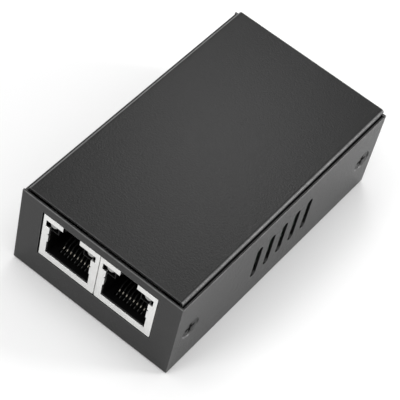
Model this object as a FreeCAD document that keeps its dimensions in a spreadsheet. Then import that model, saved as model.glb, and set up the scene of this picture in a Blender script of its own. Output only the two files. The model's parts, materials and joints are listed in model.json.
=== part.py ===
import FreeCAD, Part
import math
import os
import re

import Sketcher

# Power-over-Ethernet injector in a folded sheet-steel case.
# Frame: millimetres, +Z up, origin at the centre of the footprint, network sockets facing -Y.

Vector = FreeCAD.Vector
X_AXIS = Vector(1, 0, 0)
Y_AXIS = Vector(0, 1, 0)
Z_AXIS = Vector(0, 0, 1)

SIZES = [
    # Case: a tray with four walls, and a cover that drops inside them and stands proud of their rims
    ("case_width", 45.0),
    ("case_length", 77.0),
    ("case_height", 26.0),
    ("sheet_thick", 0.6),
    ("bend_radius", 0.6),
    ("end_wall_height", 25.1),
    ("side_wall_height", 24.7),
    ("rim_round", 0.28),
    ("cover_side_gap", 0.25),
    ("cover_end_gap", 0.25),
    ("cover_bend_radius", 0.8),
    ("flange_depth", 4.6),
    ("ear_bottom", 9.0),
    ("ear_length", 9.6),
    # Ventilation slots in both side walls
    ("vent_width", 2.1),
    ("vent_low", 7.7),
    ("vent_high", 18.6),
    ("vent_pitch", 4.81),
    ("vent_count", 5),
    ("vent_centre", 0.7),
    # Countersunk M3 screws through the side walls into the cover's ears
    ("screw_span", 66.2),
    ("screw_centre", 0.4),
    ("screw_height", 12.3),
    ("screw_sunk", 0.2),
    ("screw_head_radius", 2.55),
    ("screw_head_rim", 0.1),
    ("screw_shank_radius", 1.45),
    ("screw_length", 5.0),
    ("countersink_radius", 2.95),
    ("ear_sink_radius", 2.1),
    ("thread_radius", 1.5),
    ("collar_radius", 2.3),
    ("collar_length", 1.6),
    ("screw_point", 0.5),
    ("cross_half_span", 1.65),
    ("cross_half_width", 0.5),
    ("cross_depth", 1.0),
    # Circuit board on four pressed-in spacers
    ("board_width", 40.8),
    ("board_front", -36.9),
    ("board_rear", 37.1),
    ("board_thick", 1.6),
    ("board_corner", 1.0),
    ("spacer_height", 5.7),
    ("spacer_sunk", 0.05),
    ("spacer_hex", 5.0),
    ("spacer_shank_radius", 1.98),
    ("spacer_x", 17.0),
    ("spacer_front", -12.5),
    ("spacer_rear", 33.0),
    ("board_hole_radius", 1.6),
    ("pan_head_radius", 2.75),
    ("pan_head_height", 1.9),
    ("board_screw_length", 5.5),
    ("film_thick", 0.25),
    # Shielded network sockets
    ("jack_pitch", 16.2),
    ("jack_width", 16.1),
    ("jack_height", 14.5),
    ("jack_depth", 21.0),
    ("jack_recess", 0.1),
    ("shield_thick", 0.3),
    ("cutout_gap", 0.25),
    ("mouth_low", 2.05),
    ("mouth_half_width", 6.2),
    ("spring_low", 5.85),
    ("spring_slit_low", 8.25),
    ("spring_slit_high", 8.75),
    ("spring_half_width", 5.95),
    ("spring_reach", 0.75),
    ("spring_recess", 1.0),
    ("lamp_window_low", 10.85),
    ("lamp_window_high", 12.9),
    ("lamp_window_half_width", 7.05),
    ("latch_half_width", 2.4),
    ("latch_slot_depth", 4.0),
    ("insert_gap", 0.05),
    ("plug_half_width", 6.0),
    ("plug_floor", 2.3),
    ("plug_roof", 9.0),
    ("plug_depth", 15.0),
    ("tab_half_width", 3.5),
    ("tab_roof", 13.1),
    ("tab_depth", 12.0),
    ("lamp_floor", 10.5),
    ("lamp_wall", 0.25),
    ("lamp_pocket_depth", 8.0),
    ("shelf_depth", 3.0),
    ("lamp_recess", 0.4),
    ("lamp_flange", 2.0),
    ("lamp_rear", 6.0),
    ("lamp_dome", 0.6),
    ("lamp_x", 5.3),
    ("lamp_z", 12.0),
    ("lamp_radius", 1.1),
    # Contact springs of the network sockets
    ("wire_radius", 0.18),
    ("wire_pitch", 1.016),
    ("wire_floor", 1.0),
    ("wire_bend_radius", 0.6),
    ("hinge_depth", 3.1),
    ("hinge_gap", 0.05),
    ("rise_length", 2.0),
    ("rise_angle", 57.0),
    ("finger_length", 9.0),
    ("finger_angle", 15.0),
    ("channel_front", 1.9),
    ("comb_depth", 2.8),
    ("comb_rib", 0.3),
    ("tail_row_1", 16.0),
    ("tail_row_2", 18.54),
    ("tail_below_board", 1.0),
    ("pin_hole_radius", 0.4),
    ("lamp_lead_depth", 18.9),
    ("lamp_lead_spread", 0.6),
    ("lamp_lead_radius", 0.22),
    # Barrel power inlet on the rear wall
    ("inlet_x", -9.0),
    ("inlet_width", 9.0),
    ("inlet_height", 11.0),
    ("inlet_length", 14.2),
    ("inlet_axis_height", 6.5),
    ("inlet_recess", 0.05),
    ("inlet_step", 2.5),
    ("inlet_bevel", 0.6),
    ("inlet_slot_gap", 0.3),
    ("inlet_bore_radius", 3.2),
    ("inlet_bore_depth", 9.6),
    ("inlet_pin_radius", 1.0),
    ("inlet_pin_recess", 1.5),
    ("inlet_collar_radius", 1.55),
    ("inlet_collar_length", 0.95),
    ("inlet_rivet_radius", 0.7),
    ("inlet_rivet_length", 4.2),
    ("inlet_strip_half_width", 1.1),
    ("inlet_strip_thick", 0.4),
    ("leaf_width", 2.0),
    ("leaf_thick", 0.3),
    # Power lamp beside it
    ("power_lamp_x", 9.0),
    ("power_lamp_radius", 1.5),
    ("power_lamp_recess", 0.1),
    ("power_lamp_base", 5.4),
    ("power_lamp_flange", 1.0),
    ("power_lamp_lead_inset", 7.6),
    ("power_lamp_lead_spread", 1.27),
    ("power_lamp_lead_radius", 0.25),
    # Parts on the board
    ("can_radius", 5.0),
    ("can_height", 12.5),
    ("can_groove_height", 1.6),
    ("can_groove_radius", 0.45),
    ("sleeve_low", 2.35),
    ("sleeve_thick", 0.15),
    ("coil_radius", 4.6),
    ("coil_height", 5.4),
    ("coil_flange", 1.1),
    ("coil_core_radius", 2.07),
]

# Moulded packages: object, node, centre on the board, extent, lift above the board, bevel
PACKAGES = [
    ("Transformer", "network_transformer", (0.0, -7.5), (15.1, 7.6, 5.6), 0.3, 0.5),
    ("Controller", "controller_chip", (9.5, 3.5), (9.9, 3.9, 1.5), 0.15, 0.3),
    ("Switch", "power_transistor", (-8.5, 3.0), (6.6, 6.1, 2.3), 0.0, 0.3),
    ("Bridge", "bridge_rectifier", (1.5, 29.0), (4.7, 3.8, 2.5), 0.0, 0.3),
    ("Surge", "surge_diode", (-15.5, 4.0), (5.9, 6.9, 2.3), 0.0, 0.3),
    ("Fuse", "resettable_fuse", (0.5, 3.5), (4.5, 3.2, 0.9), 0.0, 0.1),
]

# Bent leads: node, centre, half the package's width, leads in a row, width of a lead, height at the package
LEAD_ROWS = [
    ("network_transformer_leads", (0.0, -7.5), 3.8, 12, 0.4, 2.2),
    ("controller_chip_leads", (9.5, 3.5), 1.95, 8, 0.42, 0.9),
]
LEAD_PITCH = 1.27
LEAD_THICK = 0.2
LEAD_FOOT = 0.7

CAN_PLACES = [(1.0, 17.0), (13.5, 17.0)]
COIL_PLACE = (-10.0, 13.5)
COIL_TURNS = 6

# Chip parts: object, node, places, height
CHIP_HALF_LENGTH = 0.8
CHIP_HALF_WIDTH = 0.4
BESIDE_TRANSFORMER = [(x, y) for x in (-13.5, -10.8, 10.8, 13.5) for y in (-6.5, -3.5)]
BEHIND_CONTROLLER = [(x, y) for x in (4.5, 7.1, 9.7, 12.3) for y in (8.0, 9.8)]
CHIP_ROWS = [
    ("ChipCapacitor", "chip_capacitors", BESIDE_TRANSFORMER, 0.8),
    ("ChipResistor", "chip_resistors", BEHIND_CONTROLLER, 0.45),
]

doc = FreeCAD.newDocument("poe_injector")
dims = doc.addObject("Spreadsheet::Sheet", "Dims")
for row, (alias, number) in enumerate(SIZES, start=1):
    dims.set(f"A{row}", alias)
    dims.set(f"B{row}", str(number))
    dims.setAlias(f"B{row}", alias)
doc.recompute()

# Places that several pieces share, as expressions on the sheet
BOARD_TOP = "(sheet_thick + spacer_height + board_thick)"
JACK_FRONT = "(jack_recess - case_length / 2)"
TAIL_END = "(sheet_thick + spacer_height - tail_below_board)"
COVER_HALF = "(case_width / 2 - sheet_thick - cover_side_gap)"
COVER_END = "(case_length / 2 - sheet_thick - cover_end_gap)"
INLET_REAR = "(case_length / 2 - inlet_recess)"
INLET_AXIS = f"({BOARD_TOP} + inlet_axis_height)"
SCREW_ROWS = ("(screw_centre - screw_span / 2)", "(screw_centre + screw_span / 2)")

NORMAL_SIGN = {"XY_Plane": 1, "XZ_Plane": -1, "YZ_Plane": 1}
nodes = []
pin_holes = []


def linked(expression):
    """The expression with each size's name pointing at its cell."""
    return re.sub(r"[a-z][a-z_0-9]*", lambda word: "Dims." + word.group(), str(expression))


def size(expression):
    """The number that an expression on the sheet comes to."""
    return float(dims.evalExpression(linked(expression)))


def name_node(piece, label):
    """Keeps a finished sub-part under the name of its node."""
    piece.Label = label
    nodes.append(piece)
    return piece


def drill(x, y, radius):
    """Leaves a hole in the board for a pin or a terminal."""
    name = f"PinHole{len(pin_holes) + 1}"
    pin_holes.append(
        cylinder(name, Z_AXIS, radius, "board_thick + 2", x, y, "sheet_thick + spacer_height - 1")
    )


# Sketches and features of a body

def new_sketch(body, name, role, position="0"):
    """A sketch on one of the body's origin planes, moved along the plane's axis."""
    plane = next(item for item in body.Origin.OriginFeatures if item.Role == role)
    sketch = body.newObject("Sketcher::SketchObject", name)
    sketch.AttachmentSupport = [(plane, "")]
    sketch.MapMode = "FlatFace"
    sketch.setExpression("AttachmentOffset.Base.z", linked(f"{NORMAL_SIGN[role]} * ({position})"))
    return sketch


def place_point(sketch, geometry, point, x, y):
    """Ties a point of the sketch to two expressions, measured from the sketch's origin."""
    for kind, across_axis, expression in (("DistanceX", -2, x), ("DistanceY", -1, y)):
        value = size(expression)
        if abs(value) < 1e-9:
            sketch.addConstraint(Sketcher.Constraint("PointOnObject", geometry, point, across_axis))
            continue
        index = sketch.addConstraint(Sketcher.Constraint(kind, -1, 1, geometry, point, value))
        sketch.setExpression(f"Constraints[{index}]", linked(expression))


def add_outline(sketch, corners):
    """A closed outline of straight sides through corners given as pairs of expressions."""
    first = sketch.GeometryCount
    points = [Vector(size(x), size(y), 0) for x, y in corners]
    for start, end in zip(points, points[1:] + points[:1]):
        sketch.addGeometry(Part.LineSegment(start, end))
    for side in range(len(corners)):
        following = first + (side + 1) % len(corners)
        sketch.addConstraint(Sketcher.Constraint("Coincident", first + side, 2, following, 1))
    for side, (x, y) in enumerate(corners):
        place_point(sketch, first + side, 1, x, y)


def add_rectangle(sketch, left, right, bottom, top):
    add_outline(sketch, [(left, bottom), (right, bottom), (right, top), (left, top)])


def add_circle(sketch, x, y, radius):
    centre = Vector(size(x), size(y), 0)
    index = sketch.addGeometry(Part.Circle(centre, Z_AXIS, size(radius)))
    place_point(sketch, index, 3, x, y)
    bound = sketch.addConstraint(Sketcher.Constraint("Radius", index, size(radius)))
    sketch.setExpression(f"Constraints[{bound}]", linked(radius))


def add_upright_slot(sketch, x, low, high, width):
    """A slot with round ends: two straight sides joined by two half circles."""
    radius = f"({width}) / 2"
    half = size(radius)
    middle = size(x)
    ends = ((f"({low}) + {radius}", math.pi), (f"({high}) - {radius}", 0.0))
    arcs = []
    for y, turn in ends:
        circle = Part.Circle(Vector(middle, size(y), 0), Z_AXIS, half)
        arc = sketch.addGeometry(Part.ArcOfCircle(circle, turn, turn + math.pi))
        place_point(sketch, arc, 3, x, y)
        arcs.append(arc)
    lower, upper = (size(y) for y, turn in ends)
    left = sketch.addGeometry(
        Part.LineSegment(Vector(middle - half, upper, 0), Vector(middle - half, lower, 0))
    )
    right = sketch.addGeometry(
        Part.LineSegment(Vector(middle + half, lower, 0), Vector(middle + half, upper, 0))
    )
    joins = ((left, 2, arcs[0], 1), (arcs[0], 2, right, 1), (right, 2, arcs[1], 1), (arcs[1], 2, left, 1))
    for one, one_end, other, other_end in joins:
        sketch.addConstraint(Sketcher.Constraint("Tangent", one, one_end, other, other_end))
    bound = sketch.addConstraint(Sketcher.Constraint("Radius", arcs[0], half))
    sketch.setExpression(f"Constraints[{bound}]", linked(radius))


def pad(body, sketch, length, toward):
    """Adds material from the sketch, toward the positive (1) or negative (-1) axis."""
    feature = body.newObject("PartDesign::Pad", sketch.Name + "Pad")
    feature.Profile = sketch
    feature.setExpression("Length", linked(length))
    feature.Reversed = toward != NORMAL_SIGN[sketch.AttachmentSupport[0][0].Role]
    doc.recompute()
    return feature


def pocket(body, sketch, length, toward, taper=0.0):
    """Cuts material from the sketch, toward the positive (1) or negative (-1) axis."""
    before = body.Shape.Volume
    feature = body.newObject("PartDesign::Pocket", sketch.Name + "Pocket")
    feature.Profile = sketch
    feature.setExpression("Length", linked(length))
    feature.TaperAngle = taper
    feature.Reversed = toward == NORMAL_SIGN[sketch.AttachmentSupport[0][0].Role]
    doc.recompute()
    if body.Shape.Volume >= before - 1e-6:
        raise ValueError(f"{feature.Name} cuts nothing")
    return feature


def revolve(body, sketch, axis):
    """Turns the sketch a full circle about one of its own axes, H_Axis or V_Axis."""
    feature = body.newObject("PartDesign::Revolution", sketch.Name + "Turned")
    feature.Profile = sketch
    feature.ReferenceAxis = (sketch, [axis])
    feature.Angle = 360.0
    doc.recompute()
    return feature


def edges_of(feature, chosen):
    """Names of the edges whose two ends and middle all satisfy a test on a point."""
    found = []
    for index, edge in enumerate(feature.Shape.Edges, start=1):
        middle = edge.valueAt((edge.FirstParameter + edge.LastParameter) / 2)
        points = [vertex.Point for vertex in edge.Vertexes] + [middle]
        if all(chosen(point) for point in points):
            found.append(f"Edge{index}")
    return found


def round_edges(body, feature, name, chosen, radius):
    fillet = body.newObject("PartDesign::Fillet", name)
    fillet.Base = (feature, edges_of(feature, chosen))
    fillet.setExpression("Radius", linked(radius))
    doc.recompute()
    return fillet


# Primitives

def box(name, x_low, x_high, y_low, y_high, z_low, z_high):
    """A Part::Box between six planes given as expressions."""
    piece = doc.addObject("Part::Box", name)
    sides = (("Length", "x", x_low, x_high), ("Width", "y", y_low, y_high), ("Height", "z", z_low, z_high))
    for extent, axis, low, high in sides:
        piece.setExpression(extent, linked(f"({high}) - ({low})"))
        piece.setExpression(f"Placement.Base.{axis}", linked(low))
    return piece


def cylinder(name, axis, radius, length, x, y, z):
    """A Part::Cylinder that starts at (x, y, z) and runs along the axis."""
    piece = doc.addObject("Part::Cylinder", name)
    piece.setExpression("Radius", linked(radius))
    piece.setExpression("Height", linked(length))
    piece.Placement.Rotation = FreeCAD.Rotation(Z_AXIS, axis)
    for letter, expression in (("x", x), ("y", y), ("z", z)):
        piece.setExpression(f"Placement.Base.{letter}", linked(expression))
    return piece


def fuse(name, pieces):
    joined = doc.addObject("Part::MultiFuse", name)
    joined.Shapes = pieces
    return joined


def cut(name, base, tool):
    result = doc.addObject("Part::Cut", name)
    result.Base = base
    result.Tool = tool
    return result


def group(name, pieces):
    """Separate identical solids kept together in one sub-part."""
    together = doc.addObject("Part::Compound", name)
    together.Links = pieces
    return together


def mirrored(name, source, normal, position="0"):
    """The source's mirror image in a plane across the given axis."""
    image = doc.addObject("Part::Mirroring", name)
    image.Source = source
    image.Normal = normal
    letter = "xyz"[[normal.x, normal.y, normal.z].index(1)]
    image.setExpression(f"Base.{letter}", linked(position))
    return image


def four_of(name, source, middle_y):
    """The source and its images in the plane X = 0 and in a plane across Y."""
    opposite = mirrored(name + "Opposite", source, X_AXIS)
    pair = group(name + "Pair", [source, opposite])
    other_pair = mirrored(name + "OtherPair", pair, Y_AXIS, middle_y)
    return group(name, [pair, other_pair])


def wire_solid(points, radius, bend):
    """A round wire through the points, with each corner bent to the same radius."""
    edges = []
    start = points[0]
    for before, corner, after in zip(points, points[1:], points[2:]):
        backward = (before - corner).normalize()
        forward = (after - corner).normalize()
        half_turn = (math.pi - backward.getAngle(forward)) / 2
        trim = bend * math.tan(half_turn)
        inward = (backward + forward).normalize()
        centre = corner + inward * (bend / math.cos(half_turn))
        arc_start = corner + backward * trim
        arc_end = corner + forward * trim
        arc_middle = centre - inward * bend
        edges.append(Part.LineSegment(start, arc_start).toShape())
        edges.append(Part.Arc(arc_start, arc_middle, arc_end).toShape())
        start = arc_end
    edges.append(Part.LineSegment(start, points[-1]).toShape())
    path = Part.Wire(edges)
    section = Part.Wire(Part.Circle(points[0], points[1] - points[0], radius).toShape())
    return path.makePipeShell([section], True, True)


def shape_node(label, solids):
    """A sub-part whose bent wires or strips no primitive makes."""
    piece = doc.addObject("Part::Feature", label)
    piece.Shape = Part.makeCompound(solids) if len(solids) > 1 else solids[0]
    return name_node(piece, label)


# Case

def make_base_tray():
    body = doc.addObject("PartDesign::Body", "BaseTray")
    outline = new_sketch(body, "TrayOutline", "XY_Plane")
    add_rectangle(outline, "-case_width / 2", "case_width / 2", "-case_length / 2", "case_length / 2")
    block = pad(body, outline, "end_wall_height", 1)
    round_edges(body, block, "LowerBends", lambda p: p.z < 0.01, "bend_radius")
    inside = new_sketch(body, "TrayInside", "XY_Plane", "sheet_thick")
    add_rectangle(
        inside,
        "sheet_thick - case_width / 2",
        "case_width / 2 - sheet_thick",
        "sheet_thick - case_length / 2",
        "case_length / 2 - sheet_thick",
    )
    pocket(body, inside, "case_height", 1)
    side_walls = new_sketch(body, "SideWallTops", "XY_Plane", "side_wall_height")
    inner_end = "(case_length / 2 - sheet_thick)"
    add_rectangle(side_walls, "-case_width", "case_width", f"-{inner_end}", inner_end)
    lowered = pocket(body, side_walls, "case_height", 1)
    rim_heights = (size("side_wall_height"), size("end_wall_height"))

    def runs_along_a_wall(edge):
        heights = [vertex.Z for vertex in edge.Vertexes]
        level = max(heights) - min(heights) < 0.01
        on_a_rim = min(abs(heights[0] - z) for z in rim_heights) < 0.01
        return level and on_a_rim and edge.Length > size("case_width / 2")

    rims = body.newObject("PartDesign::Fillet", "Rims")
    names = [f"Edge{i}" for i, e in enumerate(lowered.Shape.Edges, start=1) if runs_along_a_wall(e)]
    rims.Base = (lowered, names)
    rims.setExpression("Radius", linked("rim_round"))
    doc.recompute()

    port_cutout = new_sketch(body, "PortCutout", "XZ_Plane", "-case_length / 2 - 1")
    reach = "((jack_pitch + jack_width) / 2 + cutout_gap)"
    add_rectangle(
        port_cutout,
        f"-{reach}",
        reach,
        f"{BOARD_TOP} - cutout_gap",
        f"{BOARD_TOP} + jack_height + cutout_gap",
    )
    pocket(body, port_cutout, "sheet_thick + 2", 1)

    inlet_cutout = new_sketch(body, "InletCutout", "XZ_Plane", "case_length / 2 + 1")
    add_rectangle(
        inlet_cutout,
        "inlet_x - inlet_width / 2 - cutout_gap",
        "inlet_x + inlet_width / 2 + cutout_gap",
        f"{BOARD_TOP} - cutout_gap",
        f"{BOARD_TOP} + inlet_height + cutout_gap",
    )
    add_circle(inlet_cutout, "power_lamp_x", INLET_AXIS, "power_lamp_radius + cutout_gap")
    pocket(body, inlet_cutout, "sheet_thick + 2", -1)

    vent = new_sketch(body, "Vent", "YZ_Plane", "case_width / 2 + 1")
    first_vent = "vent_centre - vent_pitch * (vent_count - 1) / 2"
    add_upright_slot(vent, first_vent, "vent_low", "vent_high", "vent_width")
    vent_cut = pocket(body, vent, "case_width + 2", -1)
    vents = body.newObject("PartDesign::LinearPattern", "Vents")
    vents.Originals = [vent_cut]
    vents.Direction = (vent, ["H_Axis"])
    vents.setExpression("Length", linked("vent_pitch * (vent_count - 1)"))
    vents.setExpression("Occurrences", linked("vent_count"))
    body.Tip = vents
    doc.recompute()

    for side, toward in (("Right", -1), ("Left", 1)):
        sink = new_sketch(body, side + "Sinks", "YZ_Plane", f"{-toward} * case_width / 2")
        for row in SCREW_ROWS:
            add_circle(sink, row, "screw_height", "countersink_radius")
        pocket(body, sink, "sheet_thick", toward, taper=-45.0)

    seats = new_sketch(body, "SpacerSeats", "XY_Plane", "sheet_thick + 1")
    for x in ("-spacer_x", "spacer_x"):
        for y in ("spacer_front", "spacer_rear"):
            add_circle(seats, x, y, "spacer_shank_radius + 0.02")
    pocket(body, seats, "sheet_thick + 2", -1)
    name_node(body, "base_tray")


def make_top_cover():
    """A channel with four ears; at the rear its top runs on over the tray's rear wall."""
    body = doc.addObject("PartDesign::Body", "TopCover")
    section = new_sketch(body, "CoverSection", "XZ_Plane", f"-{COVER_END}")
    add_outline(section, [
        (f"-{COVER_HALF}", "ear_bottom"),
        (f"-{COVER_HALF} + sheet_thick", "ear_bottom"),
        (f"-{COVER_HALF} + sheet_thick", "case_height - sheet_thick"),
        (f"{COVER_HALF} - sheet_thick", "case_height - sheet_thick"),
        (f"{COVER_HALF} - sheet_thick", "ear_bottom"),
        (COVER_HALF, "ear_bottom"),
        (COVER_HALF, "case_height"),
        (f"-{COVER_HALF}", "case_height"),
    ])
    channel = pad(body, section, f"{COVER_END} + case_length / 2", 1)
    top = size("case_height")
    half = size(COVER_HALF)
    round_edges(
        body, channel, "CoverBends", lambda p: abs(p.z - top) < 0.01 and abs(abs(p.x) - half) < 0.01,
        "cover_bend_radius",
    )
    below = "ear_bottom - 1"
    ear_end = f"({COVER_END} - ear_length)"
    cuts = (
        ("FlangeRelief", f"-{ear_end}", ear_end, "case_height - flange_depth"),
        ("RearNotch", COVER_END, "case_length", "end_wall_height + cover_end_gap"),
    )
    for name, front, rear, roof in cuts:
        relief = new_sketch(body, name, "YZ_Plane", "case_width")
        add_rectangle(relief, front, rear, below, roof)
        pocket(body, relief, "2 * case_width", -1)
    for side, toward in (("Right", -1), ("Left", 1)):
        inner = f"{-toward} * ({COVER_HALF} - sheet_thick)"
        collar = new_sketch(body, side + "Collars", "YZ_Plane", inner)
        bore = new_sketch(body, side + "Threads", "YZ_Plane", f"{-toward} * {COVER_HALF}")
        sink = new_sketch(body, side + "EarSinks", "YZ_Plane", f"{-toward} * {COVER_HALF}")
        for row in SCREW_ROWS:
            add_circle(collar, row, "screw_height", "collar_radius")
            add_circle(bore, row, "screw_height", "thread_radius")
            add_circle(sink, row, "screw_height", "ear_sink_radius")
        pad(body, collar, "collar_length", toward)
        pocket(body, bore, "sheet_thick + collar_length + 1", toward)
        pocket(body, sink, "ear_sink_radius - thread_radius", toward, taper=-45.0)
    name_node(body, "top_cover")


def add_cross(sketch):
    """The outline of a cross recess, centred on the sketch's origin."""
    span = "cross_half_span"
    width = "cross_half_width"
    quarter = [(span, f"-{width}"), (span, width), (width, width)]
    corners = []
    for turn in range(4):
        for x, y in quarter:
            for step in range(turn):
                x, y = f"-({y})", x
            corners.append((x, y))
    add_outline(sketch, corners)


def make_cover_screws():
    """Countersunk cross-head screws, with the head's face at the body's origin and the tip to -X."""
    body = doc.addObject("PartDesign::Body", "CoverScrew")
    profile = new_sketch(body, "CoverScrewProfile", "XZ_Plane")
    sink = "(screw_head_radius - screw_shank_radius)"
    add_outline(profile, [
        ("0", "0"),
        ("0", "screw_head_radius - screw_head_rim"),
        ("-screw_head_rim", "screw_head_radius"),
        (f"-screw_head_rim - {sink}", "screw_shank_radius"),
        ("screw_point - screw_length", "screw_shank_radius"),
        ("-screw_length", "screw_shank_radius - screw_point"),
        ("-screw_length", "0"),
    ])
    revolve(body, profile, "H_Axis")
    cross = new_sketch(body, "CoverScrewCross", "YZ_Plane")
    add_cross(cross)
    pocket(body, cross, "cross_depth", -1, taper=-12.0)
    body.setExpression("Placement.Base.x", linked("case_width / 2 - screw_sunk"))
    body.setExpression("Placement.Base.y", linked(SCREW_ROWS[0]))
    body.setExpression("Placement.Base.z", linked("screw_height"))
    name_node(four_of("CoverScrews", body, "screw_centre"), "cover_screws")


# Board and its supports

def make_spacers():
    """Hexagonal threaded spacers, pressed into the floor."""
    body = doc.addObject("PartDesign::Body", "Spacer")
    shank = new_sketch(body, "SpacerShank", "XY_Plane", "spacer_sunk")
    add_circle(shank, "spacer_x", "spacer_front", "spacer_shank_radius")
    pad(body, shank, "sheet_thick", 1)
    barrel = new_sketch(body, "SpacerBarrel", "XY_Plane", "sheet_thick")
    corner = f"spacer_hex / {math.sqrt(3.0):.6f}"
    hexagon = []
    for step in range(6):
        angle = math.radians(60 * step)
        x = f"spacer_x + {math.cos(angle):.6f} * {corner}"
        y = f"spacer_front + {math.sin(angle):.6f} * {corner}"
        hexagon.append((x, y))
    add_outline(barrel, hexagon)
    pad(body, barrel, "spacer_height", 1)
    bore = new_sketch(body, "SpacerThread", "XY_Plane", "sheet_thick + spacer_height")
    add_circle(bore, "spacer_x", "spacer_front", "thread_radius")
    pocket(body, bore, "spacer_height - sheet_thick", -1)
    name_node(four_of("Spacers", body, "(spacer_front + spacer_rear) / 2"), "board_spacers")


def make_board_screws():
    """Pan-head cross-head screws, with the head's underside on the board."""
    body = doc.addObject("PartDesign::Body", "BoardScrew")
    profile = new_sketch(body, "BoardScrewProfile", "XZ_Plane")
    add_outline(profile, [
        ("0", "-board_screw_length"),
        ("screw_shank_radius - screw_point", "-board_screw_length"),
        ("screw_shank_radius", "screw_point - board_screw_length"),
        ("screw_shank_radius", "0"),
        ("pan_head_radius", "0"),
        ("pan_head_radius", "0.6 * pan_head_height"),
        ("0.75 * pan_head_radius", "pan_head_height"),
        ("0", "pan_head_height"),
    ])
    revolve(body, profile, "V_Axis")
    cross = new_sketch(body, "BoardScrewCross", "XY_Plane", "pan_head_height")
    add_cross(cross)
    pocket(body, cross, "cross_depth", -1, taper=-12.0)
    body.setExpression("Placement.Base.x", linked("spacer_x"))
    body.setExpression("Placement.Base.y", linked("spacer_front"))
    body.setExpression("Placement.Base.z", linked(BOARD_TOP))
    name_node(four_of("BoardScrews", body, "(spacer_front + spacer_rear) / 2"), "board_screws")


def make_circuit_board():
    body = doc.addObject("PartDesign::Body", "CircuitBoard")
    outline = new_sketch(body, "BoardOutline", "XY_Plane", "sheet_thick + spacer_height")
    add_rectangle(outline, "-board_width / 2", "board_width / 2", "board_front", "board_rear")
    slab = pad(body, outline, "board_thick", 1)
    half = size("board_width / 2")
    ends = (size("board_front"), size("board_rear"))

    def on_a_corner(point):
        return abs(abs(point.x) - half) < 0.01 and min(abs(point.y - end) for end in ends) < 0.01

    round_edges(body, slab, "BoardCorners", on_a_corner, "board_corner")
    holes = new_sketch(body, "BoardHoles", "XY_Plane", BOARD_TOP)
    for x in ("-spacer_x", "spacer_x"):
        for y in ("spacer_front", "spacer_rear"):
            add_circle(holes, x, y, "board_hole_radius")
    pocket(body, holes, "board_thick + 1", -1)
    name_node(cut("DrilledBoard", body, fuse("PinHoles", pin_holes)), "circuit_board")


def make_insulating_film():
    """A thin sheet on the floor, with room round the spacers."""
    body = doc.addObject("PartDesign::Body", "Film")
    outline = new_sketch(body, "FilmOutline", "XY_Plane", "sheet_thick")
    add_rectangle(outline, "-board_width / 2", "board_width / 2", "board_front", "board_rear")
    pad(body, outline, "film_thick", 1)
    holes = new_sketch(body, "FilmHoles", "XY_Plane", "sheet_thick + 1")
    for x in ("-spacer_x", "spacer_x"):
        for y in ("spacer_front", "spacer_rear"):
            add_circle(holes, x, y, "spacer_hex / 2 + 0.8")
    pocket(body, holes, "2", -1)
    name_node(body, "insulating_film")


# Network sockets

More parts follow.
